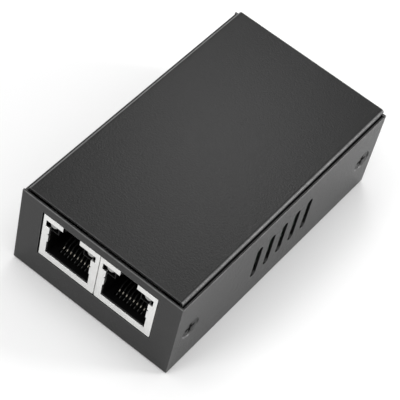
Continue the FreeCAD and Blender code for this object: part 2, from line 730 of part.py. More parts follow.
def make_port_shield(number, centre):
    """A folded tin-plated shell, open underneath, with its mouth cut in the front face."""
    body = doc.addObject("PartDesign::Body", f"Port{number}Shield")
    low = BOARD_TOP
    half = "jack_width / 2"
    face = new_sketch(body, f"Port{number}Face", "XZ_Plane", JACK_FRONT)
    add_rectangle(face, f"{centre} - {half}", f"{centre} + {half}", low, f"{low} + jack_height")
    block = pad(body, face, "jack_depth", 1)
    top = size(f"{low} + jack_height")
    left = size(f"{centre} - {half}")
    right = size(f"{centre} + {half}")

    def on_a_bend(point):
        beside = min(abs(point.x - left), abs(point.x - right)) < 0.01
        front = abs(point.y - size(JACK_FRONT)) < 0.01
        return (beside and front) or (beside and abs(point.z - top) < 0.01)

    bends = round_edges(body, block, f"Port{number}Bends", on_a_bend, "shield_thick")
    hollow = new_sketch(body, f"Port{number}Hollow", "XY_Plane", low)
    add_rectangle(
        hollow,
        f"{centre} - {half} + shield_thick",
        f"{centre} + {half} - shield_thick",
        f"{JACK_FRONT} + shield_thick",
        f"{JACK_FRONT} + jack_depth - shield_thick",
    )
    pocket(body, hollow, "jack_height - shield_thick", 1)
    mouth = new_sketch(body, f"Port{number}Mouth", "XZ_Plane", f"{JACK_FRONT} - 1")
    right_side = [
        ("mouth_half_width", "mouth_low"),
        ("mouth_half_width", "spring_low"),
        ("spring_half_width", "spring_low"),
        ("spring_half_width", "spring_slit_low"),
        ("mouth_half_width", "spring_slit_low"),
        ("mouth_half_width", "spring_slit_high"),
        ("spring_half_width", "spring_slit_high"),
        ("spring_half_width", "lamp_window_low"),
        ("lamp_window_half_width", "lamp_window_low"),
        ("lamp_window_half_width", "lamp_window_high"),
        ("latch_half_width", "lamp_window_high"),
        ("latch_half_width", "jack_height + 1"),
    ]
    corners = [(f"{centre} + {x}", f"{low} + {z}") for x, z in right_side]
    corners += [(f"{centre} - {x}", f"{low} + {z}") for x, z in reversed(right_side)]
    add_outline(mouth, corners)
    pocket(body, mouth, "shield_thick + 1", 1)
    latch = new_sketch(body, f"Port{number}LatchSlot", "XY_Plane", f"{low} + jack_height + 1")
    add_rectangle(
        latch, f"{centre} - latch_half_width", f"{centre} + latch_half_width",
        f"{JACK_FRONT} - 1", f"{JACK_FRONT} + latch_slot_depth",
    )
    pocket(body, latch, "shield_thick + 1.01", -1)
    springs = new_sketch(body, f"Port{number}GroundSprings", "XZ_Plane", JACK_FRONT)
    for sign in ("-", "+"):
        near = f"{centre} {sign} spring_half_width"
        far = f"{centre} {sign} (spring_half_width + 0.2)"
        for bottom, roof in (("spring_low", "spring_slit_low"), ("spring_slit_high", "lamp_window_low")):
            edges = (far, near) if sign == "-" else (near, far)
            add_rectangle(springs, *edges, f"{low} + {bottom}", f"{low} + {roof}")
    pad(body, springs, "spring_reach", 1)
    feet = new_sketch(body, f"Port{number}Feet", "XY_Plane", low)
    for sign in ("-", "+"):
        outer = f"{centre} {sign} {half}"
        inner = f"{centre} {sign} ({half} - shield_thick)"
        edges = (outer, inner) if sign == "-" else (inner, outer)
        add_rectangle(feet, *edges, f"{JACK_FRONT} + 9", f"{JACK_FRONT} + 10.6")
        drill(f"{centre} {sign} ({half} - shield_thick / 2)", f"{JACK_FRONT} + 9.8", "0.9")
    pad(body, feet, "board_thick + tail_below_board", -1)
    name_node(body, f"port_{number}_shield")


def make_port_insert(number, centre):
    """The moulded insulator: plug cavity, latch channel, lamp pockets, and grooves for the wires."""
    body = doc.addObject("PartDesign::Body", f"Port{number}Insert")
    low = BOARD_TOP
    front = f"({JACK_FRONT} + shield_thick + insert_gap)"
    rear = f"({JACK_FRONT} + jack_depth - shield_thick - insert_gap)"
    half = "(jack_width / 2 - shield_thick - insert_gap)"
    roof = f"{low} + jack_height - shield_thick - insert_gap"
    face = new_sketch(body, f"Port{number}InsertFace", "XZ_Plane", front)
    add_rectangle(face, f"{centre} - {half}", f"{centre} + {half}", low, roof)
    pad(body, face, f"{rear} - {front}", 1)

    def cavity(name, x_low, x_high, z_low, z_high, depth, start=front):
        """A rectangular pocket that runs rearward from a plane, to a depth from the jack's face."""
        sketch = new_sketch(body, f"Port{number}{name}", "XZ_Plane", start)
        add_rectangle(
            sketch, f"{centre} + {x_low}", f"{centre} + {x_high}", f"{low} + {z_low}", f"{low} + {z_high}"
        )
        pocket(body, sketch, f"{JACK_FRONT} + {depth} - {start}", 1)

    cavity("Plug", "(-plug_half_width)", "plug_half_width", "plug_floor", "plug_roof", "plug_depth")
    cavity("Tab", "(-tab_half_width)", "tab_half_width", "plug_roof", "tab_roof", "tab_depth")
    cavity("Finger", "(-latch_half_width)", "latch_half_width", "tab_roof", "jack_height", "latch_slot_depth")
    shelf_roof = "(lamp_floor - lamp_wall)"
    pocket_roof = "(jack_height - shield_thick - insert_gap - lamp_wall)"
    inner = "(tab_half_width + lamp_wall)"
    outer = "(lamp_window_half_width + 0.1)"
    for side, sign in (("Left", "-"), ("Right", "")):
        span = sorted((f"({sign}{inner})", f"({sign}{outer})"), key=size)
        shelf = sorted((f"({sign}tab_half_width)", f"({sign}plug_half_width)"), key=size)
        lead = sorted((f"({sign}(lamp_x - 1.1))", f"({sign}(lamp_x + 1.1))"), key=size)
        spring = sorted(
            (f"({sign}(spring_half_width - 0.05))", f"({sign}(mouth_half_width + 0.05))"), key=size
        )
        cavity(side + "Shelf", *shelf, "plug_roof", shelf_roof, "shelf_depth")
        cavity(side + "Spring", *spring, "(spring_low - 0.05)", "(lamp_window_low + 0.05)", "spring_recess")
        cavity(side + "Lamp", *span, "lamp_floor", pocket_roof, "lamp_pocket_depth")
        cavity(side + "Leads", *lead, "(lamp_z - 0.7)", "(lamp_z + 0.4)", "(lamp_lead_depth + 0.5)",
               f"({JACK_FRONT} + lamp_pocket_depth)")
        drop = new_sketch(body, f"Port{number}{side}LeadDrop", "XY_Plane", low)
        add_rectangle(
            drop, f"{centre} + {lead[0]}", f"{centre} + {lead[1]}",
            f"{JACK_FRONT} + lamp_lead_depth - 0.5", f"{JACK_FRONT} + lamp_lead_depth + 0.5",
        )
        pocket(body, drop, "lamp_z + 0.4", 1)

    # Channel under the contact springs, then the grooves and slots for their tails
    channel_half = "(4 * wire_pitch)"
    groove_low = "(wire_floor - wire_radius - 0.02)"
    groove_high = "(wire_floor + wire_radius + 0.02)"
    comb_front = "(plug_depth - comb_depth)"
    cavity("Channel", f"(-{channel_half})", channel_half, groove_low, "plug_floor", comb_front,
           f"({JACK_FRONT} + channel_front)")
    cavity("Groove", f"(-{channel_half})", channel_half, groove_low, groove_high, "(tail_row_2 + 0.4)",
           f"({JACK_FRONT} + {comb_front})")
    for row in ("tail_row_1", "tail_row_2"):
        slot = new_sketch(body, f"Port{number}{row}".replace("_", ""), "XY_Plane", low)
        add_rectangle(
            slot, f"{centre} - {channel_half}", f"{centre} + {channel_half}",
            f"{JACK_FRONT} + {row} - 0.7", f"{JACK_FRONT} + {row} + 0.3",
        )
        pocket(body, slot, "wire_floor", 1)

    # Comb at the back of the cavity, which keeps the free ends of the springs apart
    rib = new_sketch(body, f"Port{number}CombRib", "XZ_Plane", f"{JACK_FRONT} + {comb_front}")
    first_rib = f"({centre} - 3 * wire_pitch)"
    add_rectangle(
        rib, f"{first_rib} - comb_rib / 2", f"{first_rib} + comb_rib / 2",
        f"{low} + plug_floor", f"{low} + plug_roof",
    )
    rib_pad = pad(body, rib, "comb_depth", 1)
    comb = body.newObject("PartDesign::LinearPattern", f"Port{number}Comb")
    comb.Originals = [rib_pad]
    comb.Direction = (rib, ["H_Axis"])
    comb.setExpression("Length", linked("wire_pitch * 6"))
    comb.Occurrences = 7
    body.Tip = comb
    doc.recompute()
    name_node(body, f"port_{number}_insert")


def wire_offsets():
    """Places of the eight contacts across a socket, measured from its middle."""
    pitch = size("wire_pitch")
    return [(index - 3.5) * pitch for index in range(8)]


def make_port_wires(number, centre):
    """The moving ends of the eight contact springs, and the fixed ends with the lamps' leads."""
    middle = size(centre)
    front = size(JACK_FRONT)
    low = size(BOARD_TOP)
    radius = size("wire_radius")
    bend = size("wire_bend_radius")
    floor_z = low + size("wire_floor")
    hinge_y = front + size("hinge_depth")
    hinge_z = floor_z + 2 * bend
    tail_end = size(TAIL_END)

    def along(angle, length):
        turn = math.radians(angle)
        return Vector(0, length * math.cos(turn), length * math.sin(turn))

    rise = along(size("rise_angle"), size("rise_length"))
    reach = along(size("finger_angle"), size("finger_length"))
    fingers = []
    tails = []
    for index, offset in enumerate(wire_offsets()):
        hinge = Vector(middle + offset, hinge_y, hinge_z)
        spring = wire_solid([hinge, hinge + rise, hinge + rise + reach], radius, 2 * radius)
        ball = Part.makeSphere(radius, hinge)
        tip = Part.makeSphere(radius, hinge + rise + reach)
        fingers.append(spring.fuse([ball, tip]).removeSplitter().Solids[0])
        turn_y = hinge_y - radius - size("hinge_gap")
        tail_y = front + size("tail_row_1" if index % 2 == 0 else "tail_row_2")
        x = hinge.x
        nose = Part.Arc(
            Vector(x, turn_y, hinge_z), Vector(x, turn_y - bend, hinge_z - bend), Vector(x, turn_y, floor_z)
        )
        corner_y = tail_y - bend
        run = Part.LineSegment(Vector(x, turn_y, floor_z), Vector(x, corner_y, floor_z))
        swing = bend * math.sqrt(0.5)
        knee = Part.Arc(
            Vector(x, corner_y, floor_z),
            Vector(x, corner_y + swing, floor_z - bend + swing),
            Vector(x, tail_y, floor_z - bend),
        )
        drop = Part.LineSegment(Vector(x, tail_y, floor_z - bend), Vector(x, tail_y, tail_end))
        drill(x, tail_y, "pin_hole_radius")
        path = Part.Wire([curve.toShape() for curve in (nose, run, knee, drop)])
        section = Part.Wire(Part.Circle(Vector(x, turn_y, hinge_z), Y_AXIS, radius).toShape())
        tails.append(path.makePipeShell([section], True, True))
    lamp_rear = front + size("lamp_rear")
    lead_y = front + size("lamp_lead_depth")
    lead_z = low + size("lamp_z") - 0.15
    lead_radius = size("lamp_lead_radius")
    for side in (-1, 1):
        for lead in (-1, 1):
            x = middle + side * size("lamp_x") + lead * size("lamp_lead_spread")
            points = [Vector(x, lamp_rear, lead_z), Vector(x, lead_y, lead_z), Vector(x, lead_y, tail_end)]
            tails.append(wire_solid(points, lead_radius, 2 * lead_radius))
            drill(x, lead_y, "pin_hole_radius")
    shape_node(f"port_{number}_contact_springs", fingers)
    shape_node(f"port_{number}_soldered_pins", tails)


def make_port_lamps(number, centre):
    """Two indicator lamps: a round lens on a square body, one each side of the latch channel."""
    lamps = []
    for side, sign in (("Left", "-"), ("Right", "+")):
        name = f"Port{number}{side}Lamp"
        x = f"{centre} {sign} lamp_x"
        z = f"{BOARD_TOP} + lamp_z"
        lens_front = f"{JACK_FRONT} + lamp_recess"
        barrel = cylinder(name + "Lens", Y_AXIS, "lamp_radius", "lamp_flange", x, lens_front, z)
        doc.recompute()
        dome = doc.addObject("Part::Fillet", name + "Dome")
        dome.Base = barrel
        front = size(lens_front)
        rim = [i for i, e in enumerate(barrel.Shape.Edges, start=1) if abs(e.CenterOfMass.y - front) < 0.01
               and len(e.Vertexes) == 1]
        dome.Edges = [(index, size("lamp_dome"), size("lamp_dome")) for index in rim]
        base = box(
            name + "Body", f"{x} - 1.5", f"{x} + 1.5",
            f"{JACK_FRONT} + lamp_flange", f"{JACK_FRONT} + lamp_rear", f"{z} - 0.85", f"{z} + 1.0",
        )
        lamps.append(fuse(name, [dome, base]))
    name_node(group(f"Port{number}Lamps", lamps), f"port_{number}_lamps")


# Power inlet and power lamp

def make_inlet_housing():
    x_low = "inlet_x - inlet_width / 2"
    x_high = "inlet_x + inlet_width / 2"
    front_of_body = f"{INLET_REAR} - inlet_length"
    bore_end = f"{INLET_REAR} - inlet_bore_depth"
    nose = box("InletNose", x_low, x_high, bore_end, INLET_REAR, BOARD_TOP, f"{BOARD_TOP} + inlet_height")
    step = f"{BOARD_TOP} + inlet_height - inlet_step"
    back = box("InletBack", x_low, x_high, front_of_body, bore_end, BOARD_TOP, step)
    floor_cut = box(
        "InletBackSlot", "inlet_x - inlet_strip_half_width - 0.2", "inlet_x + inlet_strip_half_width + 0.2",
        f"{front_of_body} - 1", f"{front_of_body} + 2 * inlet_strip_thick",
        f"{BOARD_TOP} - 1", f"{INLET_AXIS} + 0.9",
    )
    bore = cylinder(
        "InletBore", Y_AXIS, "inlet_bore_radius", "inlet_bore_depth + 1", "inlet_x", bore_end, INLET_AXIS
    )
    mouth = doc.addObject("Part::Cone", "InletMouth")
    mouth.setExpression("Radius1", linked("inlet_bore_radius"))
    mouth.setExpression("Radius2", linked("inlet_bore_radius + inlet_bevel"))
    mouth.setExpression("Height", linked("inlet_bevel"))
    mouth.Placement.Rotation = FreeCAD.Rotation(Z_AXIS, Y_AXIS)
    for letter, expression in (("x", "inlet_x"), ("y", f"{INLET_REAR} - inlet_bevel"), ("z", INLET_AXIS)):
        mouth.setExpression(f"Placement.Base.{letter}", linked(expression))
    pin_seat = cylinder(
        "InletPinSeat", Y_AXIS, "inlet_collar_radius + 0.05", "inlet_collar_length + 0.07",
        "inlet_x", f"{bore_end} - inlet_collar_length - 0.05", INLET_AXIS,
    )
    pin_hole = cylinder(
        "InletPinHole", Y_AXIS, "inlet_rivet_radius + 0.02", "inlet_length",
        "inlet_x", front_of_body, INLET_AXIS,
    )
    slot_half = "(leaf_width / 2 + inlet_slot_gap)"
    slot_front = f"{bore_end} - 1.2"
    leaf_slot = box(
        "InletLeafSlot", f"inlet_x - {slot_half}", f"inlet_x + {slot_half}",
        slot_front, f"{INLET_REAR} - 1.2", f"{BOARD_TOP} + 0.9", f"{INLET_AXIS} - 1.9",
    )
    terminal_slot = box(
        "InletTerminalSlot", f"inlet_x - {slot_half}", f"inlet_x + {slot_half}",
        slot_front, f"{bore_end} - 0.3", f"{BOARD_TOP} - 1", f"{BOARD_TOP} + 1",
    )
    side_slot = box(
        "InletSideSlot", f"{x_high} - 0.4", f"{x_high} + 1", f"{bore_end} + 3", f"{bore_end} + 5.4",
        f"{BOARD_TOP} - 1", f"{BOARD_TOP} + 5.5",
    )
    solid = fuse("InletBlock", [nose, back])
    hollow = fuse(
        "InletHollow",
        [floor_cut, bore, mouth, pin_seat, pin_hole, leaf_slot, terminal_slot, side_slot],
    )
    name_node(cut("InletHousing", solid, hollow), "dc_inlet_housing")


def make_inlet_pin():
    """The turned centre pin, with a round nose and a riveted tail, and its strip terminal."""
    bore_end = size(f"{INLET_REAR} - inlet_bore_depth")
    body = doc.addObject("PartDesign::Body", "InletPin")
    profile = new_sketch(body, "InletPinProfile", "XZ_Plane")
    radius = "inlet_pin_radius"
    reach = "(inlet_bore_depth - inlet_pin_recess)"
    add_outline(profile, [
        ("0", "-inlet_rivet_length"),
        ("inlet_rivet_radius", "-inlet_rivet_length"),
        ("inlet_rivet_radius", "-inlet_collar_length"),
        ("inlet_collar_radius", "-inlet_collar_length"),
        ("inlet_collar_radius", "0"),
        (radius, "0"),
        (radius, f"{reach} - 0.6"),
        (f"{radius} - 0.18", f"{reach} - 0.18"),
        (f"{radius} - 0.6", reach),
        ("0", reach),
    ])
    revolve(body, profile, "V_Axis")
    body.Placement = FreeCAD.Placement(
        Vector(size("inlet_x"), bore_end, size(INLET_AXIS)), FreeCAD.Rotation(X_AXIS, -90)
    )
    front = f"{INLET_REAR} - inlet_length"
    strip = box(
        "InletPinTerminal", "inlet_x - inlet_strip_half_width", "inlet_x + inlet_strip_half_width",
        f"{front} + inlet_strip_thick / 2", f"{front} + 1.5 * inlet_strip_thick",
        TAIL_END, f"{INLET_AXIS} + inlet_rivet_radius",
    )
    drill("inlet_x", f"{front} + inlet_strip_thick", "inlet_strip_half_width + 0.1")
    name_node(fuse("InletPinWithTerminal", [body, strip]), "dc_inlet_pin")


def make_inlet_leaf():
    """The sleeve contact: a bowed leaf that the plug presses down, and its fixed terminals."""
    middle = size("inlet_x")
    half = size("leaf_width / 2")
    thick = size("leaf_thick")
    bore_end = size(f"{INLET_REAR} - inlet_bore_depth")
    board = size(BOARD_TOP)
    hinge = Vector(0, bore_end - 0.35, board + 1.9)
    crest = Vector(0, bore_end + 4.6, board + 4.35)
    heel = Vector(0, bore_end + 6.8, board + 3.3)

    def strip(start, end):
        """A flat strip between two lines across the inlet, with its middle on them."""
        along = (end - start).normalize()
        across = X_AXIS.cross(along) * (thick / 2)
        outline = [start + across, end + across, end - across, start - across]
        face = Part.Face(Part.makePolygon(outline + outline[:1]))
        return face.extrude(X_AXIS * (2 * half))

    def knuckle(point):
        return Part.makeCylinder(thick / 2, 2 * half, point, X_AXIS)

    leaf = strip(hinge, crest).fuse([strip(crest, heel), knuckle(hinge), knuckle(crest), knuckle(heel)])
    leaf = leaf.removeSplitter().Solids[0]
    leaf.translate(Vector(middle - half, 0, 0))
    shape_node("dc_inlet_leaf", [leaf])
    gap = size("hinge_gap")
    fixed_y = hinge.y - thick / 2 - gap
    sleeve_tab = Part.makeBox(
        2 * half, thick, hinge.z + thick / 2 - size(TAIL_END),
        Vector(middle - half, fixed_y - thick, size(TAIL_END)),
    )
    switch_x = middle + size("inlet_width / 2") - 0.35
    switch_tab = Part.makeBox(
        0.3, 2.0, board + 5.3 - size(TAIL_END), Vector(switch_x, bore_end + 3.2, size(TAIL_END))
    )
    drill(middle, fixed_y - thick / 2, "1.1")
    drill(switch_x + 0.15, bore_end + 4.2, "1.1")
    shape_node("dc_inlet_terminals", [sleeve_tab, switch_tab])


def make_power_lamp():
    """A lamp with a domed lens that looks through the rear wall, and its bent leads."""
    x = "power_lamp_x"
    dome_y = "(case_length / 2 - power_lamp_recess - power_lamp_radius)"
    base_y = "(case_length / 2 - power_lamp_base)"
    barrel = cylinder(
        "PowerLampBarrel", Y_AXIS, "power_lamp_radius", f"{dome_y} - {base_y}", x, base_y, INLET_AXIS
    )
    dome = doc.addObject("Part::Sphere", "PowerLampDome")
    dome.setExpression("Radius", linked("power_lamp_radius"))
    for letter, expression in (("x", x), ("y", dome_y), ("z", INLET_AXIS)):
        dome.setExpression(f"Placement.Base.{letter}", linked(expression))
    flange = cylinder(
        "PowerLampFlange", Y_AXIS, "power_lamp_radius + 0.4", "power_lamp_flange", x, base_y, INLET_AXIS
    )
    name_node(fuse("PowerLamp", [barrel, dome, flange]), "power_lamp")
    start_y = size(base_y)
    bend_y = size("case_length / 2 - power_lamp_lead_inset")
    axis_z = size(INLET_AXIS)
    radius = size("power_lamp_lead_radius")
    leads = []
    for side in (-1, 1):
        lead_x = size(x) + side * size("power_lamp_lead_spread")
        points = [
            Vector(lead_x, start_y, axis_z),
            Vector(lead_x, bend_y, axis_z),
            Vector(lead_x, bend_y, size(TAIL_END)),
        ]
        leads.append(wire_solid(points, radius, 2 * radius))
        drill(lead_x, bend_y, "pin_hole_radius")
    shape_node("power_lamp_leads", leads)


# Parts on the board

def gull_wing_leads(centre, half_body, count, width, height):
    """Two rows of bent leads, along X, on the long sides of a package standing on the board."""
    board = size(BOARD_TOP)
    knee = half_body + LEAD_FOOT
    toe = knee + LEAD_FOOT
    profile = [
        (half_body, height),
        (knee, height),
        (knee, LEAD_THICK),
        (toe, LEAD_THICK),
        (toe, 0),
        (knee - LEAD_THICK, 0),
        (knee - LEAD_THICK, height - LEAD_THICK),
        (half_body, height - LEAD_THICK),
    ]
    leads = []
    for side in (-1, 1):
        for index in range(count):
            x = centre[0] + (index - (count - 1) / 2) * LEAD_PITCH - width / 2
            points = [Vector(x, centre[1] + side * y, board + z) for y, z in profile]
            face = Part.Face(Part.makePolygon(points + points[:1]))
            leads.append(face.extrude(X_AXIS * width))
    return leads


def make_package(name, label, centre, extent, lift, bevel):
    """A moulded block with bevelled upper edges, standing on the board."""
    half_x, half_y, height = extent[0] / 2, extent[1] / 2, extent[2]
    block = box(
        name + "Block", centre[0] - half_x, centre[0] + half_x, centre[1] - half_y, centre[1] + half_y,
        f"{BOARD_TOP} + {lift}", f"{BOARD_TOP} + {lift} + {height}",
    )
    doc.recompute()
    top = size(f"{BOARD_TOP} + {lift} + {height}")
    rim = [
        i for i, e in enumerate(block.Shape.Edges, start=1) if all(abs(v.Z - top) < 0.01 for v in e.Vertexes)
    ]
    bevelled = doc.addObject("Part::Chamfer", name)
    bevelled.Base = block
    bevelled.Edges = [(index, bevel, bevel) for index in rim]
    return name_node(bevelled, label)


def make_packages():
    for package in PACKAGES:
        make_package(*package)
    for label, *row in LEAD_ROWS:
        shape_node(label, gull_wing_leads(*row))


def make_capacitors():
    """Two upright electrolytic capacitors: an aluminium can in a shrunk sleeve."""
    cans = []
    sleeves = []
    inner_radius = "can_radius - sleeve_thick"
    for number, (x, y) in enumerate(CAN_PLACES, start=1):
        can = cylinder(f"Can{number}", Z_AXIS, inner_radius, "can_height", x, y, BOARD_TOP)
        groove = doc.addObject("Part::Torus", f"CanGroove{number}")
        groove.setExpression("Radius1", linked("can_radius - sleeve_thick / 3"))
        groove.setExpression("Radius2", linked("can_groove_radius"))
        groove.Placement.Base = Vector(x, y, size(f"{BOARD_TOP} + can_groove_height"))
        cans.append(cut(f"NeckedCan{number}", can, groove))
        outer = cylinder(
            f"SleeveOuter{number}", Z_AXIS, "can_radius", "can_height - sleeve_low", x, y,
            f"{BOARD_TOP} + sleeve_low",
        )
        inner = cylinder(f"SleeveInner{number}", Z_AXIS, inner_radius, "can_height", x, y, f"{BOARD_TOP} + 1")
        sleeves.append(cut(f"Sleeve{number}", outer, inner))
    name_node(group("Cans", cans), "capacitor_cans")
    name_node(group("Sleeves", sleeves), "capacitor_sleeves")


def make_inductor():
    """A ferrite drum with a copper winding in its waist."""
    body = doc.addObject("PartDesign::Body", "Drum")
    profile = new_sketch(body, "DrumProfile", "XZ_Plane")
    add_outline(profile, [
        ("0", "0"),
        ("coil_radius", "0"),
        ("coil_radius", "coil_flange"),
        ("coil_core_radius", "coil_flange"),
        ("coil_core_radius", "coil_height - coil_flange"),
        ("coil_radius", "coil_height - coil_flange"),
        ("coil_radius", "coil_height"),
        ("0", "coil_height"),
    ])
    revolve(body, profile, "V_Axis")
    seat = Vector(*COIL_PLACE, size(BOARD_TOP))
    body.Placement.Base = seat
    name_node(body, "inductor_core")
    winding = doc.addObject("PartDesign::Body", "Winding")
    section = new_sketch(winding, "WindingSection", "XZ_Plane")
    low = "(coil_flange + 0.05)"
    high = f"(coil_height - {low})"
    inside = "(coil_core_radius + 0.05)"
    outside = "(0.86 * coil_radius)"
    step = f"({high} - {low}) / {COIL_TURNS}"
    corners = [(inside, low)]
    for turn in range(COIL_TURNS):
        corners.append((outside, f"{low} + {step} * {turn + 0.15}"))
        corners.append((outside, f"{low} + {step} * {turn + 0.85}"))
        if turn < COIL_TURNS - 1:
            corners.append((f"{outside} - 0.12", f"{low} + {step} * {turn + 1}"))
    corners.append((inside, high))
    add_outline(section, corners)
    revolve(winding, section, "V_Axis")
    winding.Placement.Base = seat
    name_node(winding, "inductor_winding")


def make_chips():
    """Small two-ended chips, each lying along X on the board."""
    for name, label, places, height in CHIP_ROWS:
        chips = []
        for number, (x, y) in enumerate(places, start=1):
            chips.append(box(
                f"{name}{number}", x - CHIP_HALF_LENGTH, x + CHIP_HALF_LENGTH,
                y - CHIP_HALF_WIDTH, y + CHIP_HALF_WIDTH, BOARD_TOP, f"{BOARD_TOP} + {height}",
            ))
        name_node(group(name + "s", chips), label)


make_base_tray()
make_top_cover()
make_cover_screws()
make_spacers()
make_board_screws()
make_insulating_film()
for port_number, port_centre in ((1, "(-jack_pitch / 2)"), (2, "(jack_pitch / 2)")):
    make_port_shield(port_number, port_centre)
    make_port_insert(port_number, port_centre)
    make_port_wires(port_number, port_centre)
    make_port_lamps(port_number, port_centre)
make_inlet_housing()
make_inlet_pin()
make_inlet_leaf()
make_power_lamp()
make_packages()
make_capacitors()
make_inductor()
make_chips()
make_circuit_board()

doc.recompute()
for item in doc.Objects:
    if "Invalid" in item.State or "Error" in item.State:
        raise ValueError(f"{item.Label} failed: {item.State}")
for piece in nodes:
    if piece.Shape.isNull() or not piece.Shape.isValid():
        raise ValueError(f"{piece.Label} has no valid shape")

os.makedirs("parts", exist_ok=True)
for piece in nodes:
    piece.Shape.exportStep(f"parts/{piece.Label}.step")
    print(f"{piece.Label}: {len(piece.Shape.Solids)} solid(s), {piece.Shape.Volume:.2f} mm3")
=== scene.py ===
"""Looks of a small two-socket power injector in a folded sheet-metal case."""

import json
import math

import bmesh
import bpy
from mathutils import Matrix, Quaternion, Vector


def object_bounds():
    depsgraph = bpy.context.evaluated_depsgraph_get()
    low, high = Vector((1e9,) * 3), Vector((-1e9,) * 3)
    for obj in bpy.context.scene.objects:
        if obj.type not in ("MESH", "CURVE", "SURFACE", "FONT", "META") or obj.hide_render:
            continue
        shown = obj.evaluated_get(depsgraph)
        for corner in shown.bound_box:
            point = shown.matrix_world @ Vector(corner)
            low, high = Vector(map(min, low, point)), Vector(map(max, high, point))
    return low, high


MM = 0.001

# The powder coat's texture
COAT_GRAIN = 0.45 * MM
COAT_RELIEF = 0.1 * MM
COAT_SHARE = 0.5
PEEL_GRAIN = 0.8 * MM
PEEL_SHARE = 1.6
COATED_EDGE = 0.12 * MM

# Heights of the band painted pale gold on each contact spring as a painted glint where light
# catches the springs, each fading in or out
GLINT_STARTS = (10.4 * MM, 10.6 * MM)
GLINT_ENDS = (10.75 * MM, 11.05 * MM)

# Lights: name, azimuth, elevation, distance, size, power
LIGHTS = [
    ("overhead", -20, 84, 0.9, (0.8, 0.8), 3.1),
    ("rear_glow", 206, 52, 0.24, (0.06, 0.06), 0.06),
    ("right_strip", 125, 17, 0.5, (0.12, 0.06), 1.1),
    ("front_panel", -20, 34, 0.6, (0.2, 0.12), 0.8),
]
LIGHTS_AIM = Vector((0, 0, 15 * MM))
SKY_STRENGTH = 0.6
FLOOR_RADIUS = 3.0
FLOOR_GAP = 0.05 * MM

# Camera: angles in degrees
CAMERA_AZIMUTH = 26.30
CAMERA_ELEVATION = 51.37
CAMERA_ROLL = 15.23
CAMERA_DISTANCE = 0.3979
CAMERA_AIM = Vector((2.49 * MM, -4.23 * MM, 13 * MM))
CAMERA_LENS = 156.59

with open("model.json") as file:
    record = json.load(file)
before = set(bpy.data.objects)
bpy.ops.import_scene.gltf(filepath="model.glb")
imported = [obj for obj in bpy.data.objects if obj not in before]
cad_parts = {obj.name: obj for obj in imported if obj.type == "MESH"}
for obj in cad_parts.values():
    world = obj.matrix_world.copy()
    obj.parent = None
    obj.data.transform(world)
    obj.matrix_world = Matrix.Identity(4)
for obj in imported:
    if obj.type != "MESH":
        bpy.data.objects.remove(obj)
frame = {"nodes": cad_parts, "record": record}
cad_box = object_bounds()


# ---------------------------------------------------------------- node helpers


def new_material(name, **settings):
    """A material and its shader, with the shader's own sockets set."""
    material = bpy.data.materials.new(name)
    material.use_nodes = True
    shader = material.node_tree.nodes["Principled BSDF"]
    for socket, value in settings.items():
        shader.inputs[socket.replace("_", " ")].default_value = value
    return material, shader


def node(material, kind, inputs=None, **settings):
    """A node with its settings, and its input sockets set or linked."""
    made = material.node_tree.nodes.new(kind)
    for name, value in settings.items():
        setattr(made, name, value)
    for name, value in (inputs or {}).items():
        connect(material, value, made.inputs[name])
    return made


def connect(material, value, socket):
    if isinstance(value, bpy.types.NodeSocket):
        material.node_tree.links.new(value, socket)
    else:
        socket.default_value = value


def place(material, stretch=(1, 1, 1)):
    """The point on the object, in metres, stretched along its axes."""
    point = node(material, "ShaderNodeTexCoord").outputs["Object"]
    inputs = {"Vector": point, "Scale": stretch}
    return node(material, "ShaderNodeMapping", inputs).outputs["Vector"]


def noise(material, size, detail=3.0, roughness=0.5, stretch=(1, 1, 1)):
    """Cloudy noise whose grains are about that large, in metres."""
    inputs = {"Vector": place(material, stretch), "Scale": 1 / size}
    inputs.update({"Detail": detail, "Roughness": roughness})
    return node(material, "ShaderNodeTexNoise", inputs).outputs["Fac"]


def cells(material, size):
    """Distance to the nearest of scattered points, about that far apart, in metres."""
    inputs = {"Vector": place(material), "Scale": 1 / size}
    return node(material, "ShaderNodeTexVoronoi", inputs).outputs["Distance"]


def spread(material, value, low, high, low_at=0.3, high_at=0.7):
    """value from low_at..high_at, drawn to low..high."""
    inputs = {"Value": value, "From Min": low_at, "From Max": high_at}
    inputs.update({"To Min": low, "To Max": high})
    return node(material, "ShaderNodeMapRange", inputs).outputs["Result"]


def shades(material, share, first, second):
    """A colour between first and second, which are colours or sockets."""
    made = node(material, "ShaderNodeMix", data_type="RGBA")
    for socket, value in ((0, share), (6, first), (7, second)):
        connect(material, value, made.inputs[socket])
    return made.outputs[2]


def grey(level, tint=(1.0, 1.0, 1.0)):
    return (level * tint[0], level * tint[1], level * tint[2], 1.0)


def combine(material, first, second=0.0, operation="ADD"):
    """first and second put together by that operation. Some operations take only the first."""
    made = node(material, "ShaderNodeMath", operation=operation)
    connect(material, first, made.inputs[0])
    connect(material, second, made.inputs[1])
    return made.outputs[0]


def edge_mask(material, radius, low_at=0.02, high_at=0.2):
    """1 along sharp edges, 0 on flat faces."""
    rounded = node(material, "ShaderNodeBevel", {"Radius": radius}, samples=4).outputs["Normal"]
    flat = node(material, "ShaderNodeNewGeometry").outputs["Normal"]
    alike = node(material, "ShaderNodeVectorMath", operation="DOT_PRODUCT")
    connect(material, rounded, alike.inputs[0])
    connect(material, flat, alike.inputs[1])
    turned = combine(material, 1.0, alike.outputs["Value"], "SUBTRACT")
    return spread(material, turned, 0.0, 1.0, low_at, high_at)


def relief(material, shader, height, depth, strength=1.0, edge_radius=0.0):
    """Bump of that depth in metres, over edges rounded to edge_radius."""
    inputs = {"Height": height, "Distance": depth, "Strength": strength}
    if edge_radius:
        rounded = node(material, "ShaderNodeBevel", {"Radius": edge_radius}, samples=4)
        inputs["Normal"] = rounded.outputs["Normal"]
    bump = node(material, "ShaderNodeBump", inputs)
    connect(material, bump.outputs["Normal"], shader.inputs["Normal"])


